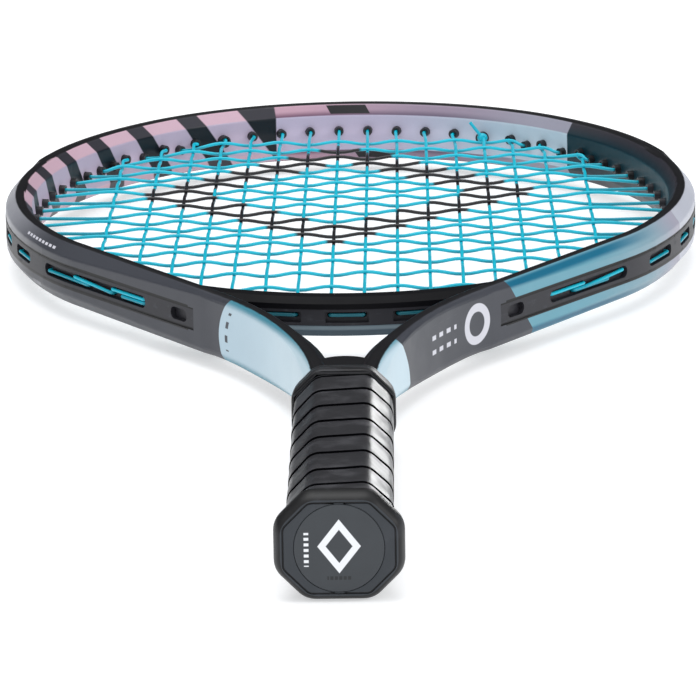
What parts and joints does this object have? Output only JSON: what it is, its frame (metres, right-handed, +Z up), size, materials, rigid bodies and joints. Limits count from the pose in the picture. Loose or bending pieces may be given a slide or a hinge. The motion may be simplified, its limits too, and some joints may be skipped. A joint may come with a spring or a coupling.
{
  "type": "tennis racket",
  "caption": "Strung junior tennis racket lying flat: oval composite hoop with an open throat, woven string bed, wrapped octagonal handle and flared butt cap.",
  "frame": {"origin": "under the middle of the bounding box, on the surface the racket lies on", "axes": "+Y from the butt to the head, +Z up and square to the string bed, +X to the right"},
  "size_m": [0.2606, 0.635, 0.033],
  "materials": {
    "frame_paint": "semi-gloss lacquer over carbon and glass composite, fading from charcoal to pale blue and lilac",
    "bridge_paint": "near-black lacquer over composite",
    "guard_nylon": "black moulded nylon",
    "strip_nylon": "black moulded nylon",
    "string": "teal polyamide string, with a black stencil",
    "pallet_foam": "rigid polyurethane foam",
    "cap_plastic": "satin black moulded elastomer",
    "plug_plastic": "satin black plastic",
    "staple_steel": "galvanised wire",
    "grip": "black cushioned polyurethane tape",
    "tape": "black adhesive tape",
    "collar_rubber": "black rubber"
  },
  "bodies": {
    "root": {"frame_hairpin": "frame_paint", "throat_bridge": "bridge_paint", "head_guard": "guard_nylon", "grommet_strip_left": "strip_nylon", "grommet_strip_right": "strip_nylon", "grommet_strip_bridge": "strip_nylon", "main_string": "string", "cross_string": "string", "main_string_knots": "string", "cross_string_knots": "string", "pallet_upper": "pallet_foam", "pallet_lower": "pallet_foam", "butt_cap": "cap_plastic", "butt_cap_plug": "plug_plastic", "butt_cap_staples": "staple_steel", "grip_tape": "grip", "finishing_tape": "tape", "grip_collar": "collar_rubber"}
  },
  "joints": []
}
